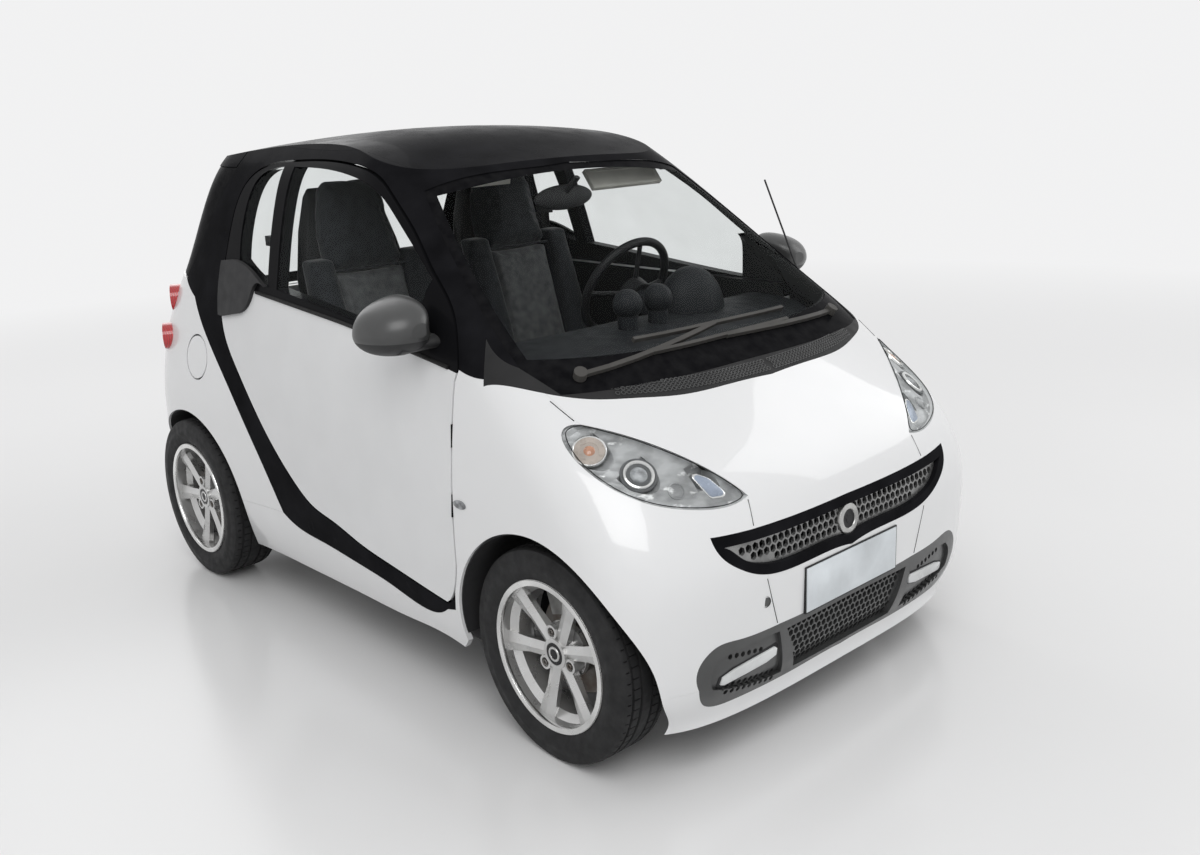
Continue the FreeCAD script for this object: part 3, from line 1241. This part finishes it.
# Rear axle: a bent tube behind the engine with the hub carriers and the arms that locate it
TUBE_SHARES = ((-0.718, 1.0, 0.186), (-0.603, 1.153, 0.186), (-0.487, 1.45, 0.186), (0.0, 1.45, 0.186))
TUBE_RADIUS = 22.0
REAR_CARRIER_RADIUS = 42.0
TRAIL_ARM_SHARES = ((-0.667, 0.992, 0.17), (-0.552, 0.724, 0.107))
TRAIL_ARM_RADIUS = 17.0
TRAIL_BRACKET_SHARES = (-0.584, -0.52, 0.708, 0.74, 0.097, 0.123)


def make_rear_axle():
    drum_x = HUB_FACES[1] + DRUM_DEPTH
    points = [place(shares) for shares in TUBE_SHARES]
    x0, x1 = drum_x + CARRIER_GAP, points[0].x + TUBE_RADIUS
    shapes = [x_disc(x0, x1, REAR_AXLE_Y, REAR_AXLE_Z, REAR_CARRIER_RADIUS)]
    shapes += [rod(points[n], points[n + 1], TUBE_RADIUS) for n in range(len(points) - 1)]
    shapes += [Part.makeSphere(TUBE_RADIUS, point) for point in points[:-1]]
    ends = [place(shares) for shares in TRAIL_ARM_SHARES]
    shapes += [rod(ends[0], ends[1], TRAIL_ARM_RADIUS), share_box(TRAIL_BRACKET_SHARES)]
    half = shapes[0].multiFuse(shapes[1:])
    save("rear_axle", one(half.fuse(mirrored(half))))


make_rear_axle()


# Floor, engine, exhaust and radiator
ENGINE_SHARES = (-0.449, 0.321, 0.85, 1.375, 0.149, 0.327)
MUFFLER_SHARES = ((-0.346, 1.714, 0.174), (0.346, 1.714, 0.174))
MUFFLER_RADIUS = 62.0
PIPE_RADIUS = 19.0
PIPE_SHARES = ((-0.154, 1.352, 0.226), (-0.154, 1.655, 0.195))
TAIL_PIPE_SHARES = ((0.0, 1.749, 0.139), (0.0, 1.8, 0.099), (0.0, 1.964, 0.099))
TAIL_PIPE_RADIUS = 24.0
RADIATOR_SHARES = (-0.308, 0.308, -0.771, -0.681, 0.123, 0.389)
ARCH_SKIN = SHEET + FIT + FIT


def make_floor():
    arches = []
    for y, z, radius, depth in (
        (FRONT_AXLE_Y, FRONT_AXLE_Z, FRONT_ARCH_RADIUS, FRONT_ARCH_DEPTH),
        (REAR_AXLE_Y, REAR_AXLE_Z, REAR_ARCH_RADIUS, REAR_ARCH_DEPTH),
    ):
        arch = x_disc(-2 * HALF_WIDTH, -depth + ARCH_SKIN, y, z, radius)
        arches += [arch, mirrored(arch)]
    prism_shape = side_prism(FLOOR_SHARES, 0.0, -HALF_WIDTH, HALF_WIDTH)
    pan = prism_shape.common(body(WALL + FIT, False))
    door_space = side_prism(DOOR_SHARES, DOOR_STEP - DOOR_GAP).cut(body(DOOR_WALL + DOOR_GAP, False))
    for space in arches + [door_space, mirrored(door_space)]:
        pan = pan.cut(space)
    save("floor_pan", one(pan))


make_floor()
save("engine_block", share_box(ENGINE_SHARES))
save("radiator", share_box(RADIATOR_SHARES))


def make_exhaust():
    muffler = rod(place(MUFFLER_SHARES[0]), place(MUFFLER_SHARES[1]), MUFFLER_RADIUS)
    pipe = rod(place(PIPE_SHARES[0]), place(PIPE_SHARES[1]), PIPE_RADIUS)
    start, bend, end = [place(shares) for shares in TAIL_PIPE_SHARES]
    tail = [rod(start, bend, TAIL_PIPE_RADIUS), rod(bend, end, TAIL_PIPE_RADIUS)]
    tail.append(Part.makeSphere(TAIL_PIPE_RADIUS, bend))
    save("exhaust", one(muffler.multiFuse([pipe] + tail).cut(share_box(ENGINE_SHARES))))


make_exhaust()


# Wheel arch liners, open at the struts and at the axle
STRUT_HOLE_SHARES = (-0.77, -0.385, -0.161, 0.035, 0.292, 0.454)
ARM_HOLE_SHARES = (-0.77, -0.385, -0.381, 0.084, 0.0, 0.246)
REAR_HOLE_SHARES = (-0.898, -0.385, 0.936, 1.562, 0.0, 0.233)
LINER_FOOT_SHARE = 0.16


def arch_liner(y, z, radius, depth, holes):
    outer = radius - FIT
    shell = x_disc(-2 * HALF_WIDTH, -depth + SHEET, y, z, outer)
    shell = shell.cut(x_disc(-2 * HALF_WIDTH, -depth, y, z, outer - SHEET)).common(body(PANEL / 2))
    shell = shell.cut(box(-LENGTH, 0, -LENGTH, LENGTH, -HEIGHT, high(LINER_FOOT_SHARE)))
    for hole in holes:
        shell = shell.cut(share_box(hole))
    return one(shell)


def make_liners():
    front = arch_liner(
        FRONT_AXLE_Y, FRONT_AXLE_Z, FRONT_ARCH_RADIUS, FRONT_ARCH_DEPTH, (STRUT_HOLE_SHARES, ARM_HOLE_SHARES)
    )
    rear = arch_liner(REAR_AXLE_Y, REAR_AXLE_Z, REAR_ARCH_RADIUS, REAR_ARCH_DEPTH, (REAR_HOLE_SHARES,))
    save("wheel_liners", Part.makeCompound([front, mirrored(front), rear, mirrored(rear)]))


make_liners()


# Dashboard with its instrument dome, two round pods and the steering column
DOME_SHARES = (0.366, 0.226, 0.623)
DOME_HALF_X = 120.0
DOME_HALF_Y = 95.0
DOME_HALF_Z = 140.0
POD_RADIUS = 44.0
POD_SHARES = ((-0.077, 0.186, 0.674), (0.083, 0.186, 0.674))
POD_FOOT_RADIUS = 30.0
WHEEL_CENTRE_SHARES = (0.366, 0.382, 0.655)
WHEEL_TILT = 27.0
WHEEL_RIM_RADIUS = 171.0
WHEEL_RIM_THICK = 14.0
WHEEL_HUB_RADIUS = 55.0
WHEEL_HUB_DEPTH = 46.0
WHEEL_SPOKE_HALF = 16.0
WHEEL_DISH = 26.0
COLUMN_RADIUS = 34.0
COLUMN_LENGTH = 260.0


def wheel_axis():
    tilt = math.radians(WHEEL_TILT)
    return V(0, math.cos(tilt), math.sin(tilt))


def make_dashboard():
    bar = side_prism(DASHBOARD_SHARES, 0.0, -HALF_WIDTH, HALF_WIDTH).common(body(DOOR_WALL + DOOR_GAP, False))
    dome = ellipsoid(place(DOME_SHARES), DOME_HALF_X, DOME_HALF_Y, DOME_HALF_Z)
    shapes = [dome]
    for shares in POD_SHARES:
        pod = place(shares)
        shapes += [Part.makeSphere(POD_RADIUS, pod), rod(pod - V(0, 0, 2 * POD_RADIUS), pod, POD_FOOT_RADIUS)]
    back = place(WHEEL_CENTRE_SHARES) - wheel_axis() * (WHEEL_DISH + WHEEL_HUB_DEPTH + FIT)
    shapes.append(rod(back - wheel_axis() * COLUMN_LENGTH, back, COLUMN_RADIUS))
    below = box(-HALF_WIDTH, HALF_WIDTH, -LENGTH, LENGTH, -HEIGHT, high(DASHBOARD_SHARES[3][0][1]))
    whole = bar.multiFuse(shapes).cut(below).cut(side_prism(FLOOR_SHARES, 0.0, -HALF_WIDTH, HALF_WIDTH))
    save("dashboard", one(whole))


def make_steering_wheel():
    centre, axis = place(WHEEL_CENTRE_SHARES), wheel_axis()
    ring = Part.makeTorus(WHEEL_RIM_RADIUS, WHEEL_RIM_THICK, centre, axis)
    hub_top = centre - axis * WHEEL_DISH
    hub = Part.makeCylinder(WHEEL_HUB_RADIUS, WHEEL_HUB_DEPTH, hub_top - axis * WHEEL_HUB_DEPTH, axis)
    shapes = [hub]
    side, up = V(1, 0, 0), axis.cross(V(1, 0, 0))
    for direction in (side, side * -1, up * -1):
        outer = centre + direction * WHEEL_RIM_RADIUS
        shapes.append(rod(hub_top - axis * WHEEL_SPOKE_HALF, outer, WHEEL_SPOKE_HALF / 2))
    save("steering_wheel", one(ring.multiFuse(shapes)))


make_dashboard()
make_steering_wheel()


# Seats, console, interior mirror, wipers and antenna
SEAT_X_SHARE = 0.385
SEAT_WIDTH = 480.0
HEAD_WIDTH = 270.0
HEAD_START_SHARE = 0.79
SEAT_BASE_SHARES = (-0.59, -0.18, 0.454, 0.684, 0.195, 0.279)
CONSOLE_SHARES = (-0.096, 0.096, 0.331, 0.615, 0.195, 0.259)
LEVER_SHARES = ((0.0, 0.4, 0.253), (0.0, 0.387, 0.337))
LEVER_RADIUS = 9.0
KNOB_RADIUS = 26.0
INNER_MIRROR_SHARES = (0.0, 0.361, 0.861)
INNER_MIRROR_HALF = (115.0, 22.0, 38.0)
INNER_STALK_SHARES = ((0.0, 0.356, 0.869), (0.0, 0.293, 0.934))
STALK_RADIUS = 9.0
WIPER_ARM = 13.0
WIPER_BLADE = 10.0
WIPER_HEIGHT = 12.0
WIPER_CAP_RADIUS = 17.0
WIPER_CAP_HEIGHT = 22.0
WIPER_LIFT = 0.8
WIPER_STEPS = 6
WIPERS_SHARES = (
    ((-0.684, 0.018, 0.623), (-0.046, 0.027, 0.655), (-0.422, 0.03, 0.656), (0.33, 0.023, 0.654)),
    ((0.588, 0.012, 0.63), (-0.049, 0.003, 0.637), (-0.393, 0.004, 0.637), (0.295, 0.002, 0.638)),
)
ANTENNA_SHARES = ((0.862, 0.138, 0.619), (0.904, 0.25, 0.863))
ANTENNA_FOOT = 30.0
ANTENNA_FOOT_RADIUS = 14.0
ANTENNA_RADIUS = 3.0


def make_seats():
    middle = -wide(SEAT_X_SHARE)
    seat = side_prism(SEAT_SIDE_SHARES, 0.0, middle - SEAT_WIDTH / 2, middle + SEAT_WIDTH / 2)
    for side in (-1, 1):
        edge = middle + side * HEAD_WIDTH / 2
        far = middle + side * SEAT_WIDTH
        x0, x1 = min(edge, far), max(edge, far)
        seat = seat.cut(box(x0, x1, -LENGTH, LENGTH, high(HEAD_START_SHARE), 2 * HEIGHT))
    seat = one(seat.fuse(share_box(SEAT_BASE_SHARES)))
    save("seats", Part.makeCompound([seat, mirrored(seat)]))


def make_cabin_fittings():
    console = share_box(CONSOLE_SHARES)
    foot, top = place(LEVER_SHARES[0]), place(LEVER_SHARES[1])
    save("console", one(console.multiFuse([rod(foot, top, LEVER_RADIUS), Part.makeSphere(KNOB_RADIUS, top)])))
    shell = ellipsoid(place(INNER_MIRROR_SHARES), *INNER_MIRROR_HALF)
    stalk = rod(place(INNER_STALK_SHARES[0]), place(INNER_STALK_SHARES[1]), STALK_RADIUS)
    save("interior_mirror", one(shell.fuse(stalk).common(body(GLASS_SINK + GLASS + FIT, False))))


def on_nose(x, z):
    """The place on the outer skin of the windscreen and nose at a width and height."""
    line = Part.makeLine(V(x, -LENGTH, z), V(x, 0, z)).common(body(0, False))
    return min((vertex.Point for vertex in line.Vertexes), key=lambda point: point.y)


def nose_place(x, z, lift):
    """The place at a height over the nose or windscreen."""
    point = on_nose(x, z)
    normal = SKIN.normal(*SKIN.parameter(point))
    return point + normal * (lift if normal.y < 0 else -lift)


def skin_bar(start, end, width):
    """A bar of rectangular section that follows the skin from one place to another, just clear of it."""
    sections = []
    for step in range(WIPER_STEPS + 1):
        share = step / WIPER_STEPS
        x, z = start.x + (end.x - start.x) * share, start.z + (end.z - start.z) * share
        low, top = [nose_place(x, z, lift) for lift in (WIPER_LIFT, WIPER_LIFT + WIPER_HEIGHT)]
        side = (top - low).cross(end - start).normalize() * (width / 2)
        sections.append(Part.makePolygon([low - side, low + side, top + side, top - side, low - side]))
    return Part.makeLoft(sections, True, True)


def make_wipers():
    wipers = []
    for row in WIPERS_SHARES:
        pivot, knee, first, last = [place(shares) for shares in row]
        foot, top = [nose_place(pivot.x, pivot.z, lift) for lift in (FIT, WIPER_CAP_HEIGHT)]
        bars = [skin_bar(pivot, knee, WIPER_ARM), skin_bar(first, last, WIPER_BLADE)]
        wipers.append(one(rod(foot, top, WIPER_CAP_RADIUS).multiFuse(bars)))
    save("wipers", Part.makeCompound(wipers))


def make_antenna():
    foot, tip = place(ANTENNA_SHARES[0]), place(ANTENNA_SHARES[1])
    along_it = (tip - foot).normalize()
    base = Part.makeCone(ANTENNA_FOOT_RADIUS, ANTENNA_RADIUS, ANTENNA_FOOT, foot, along_it)
    save("antenna", one(base.multiFuse([rod(foot, tip, ANTENNA_RADIUS)]).cut(body(0, False))))


make_seats()
make_cabin_fittings()
make_wipers()
make_antenna()
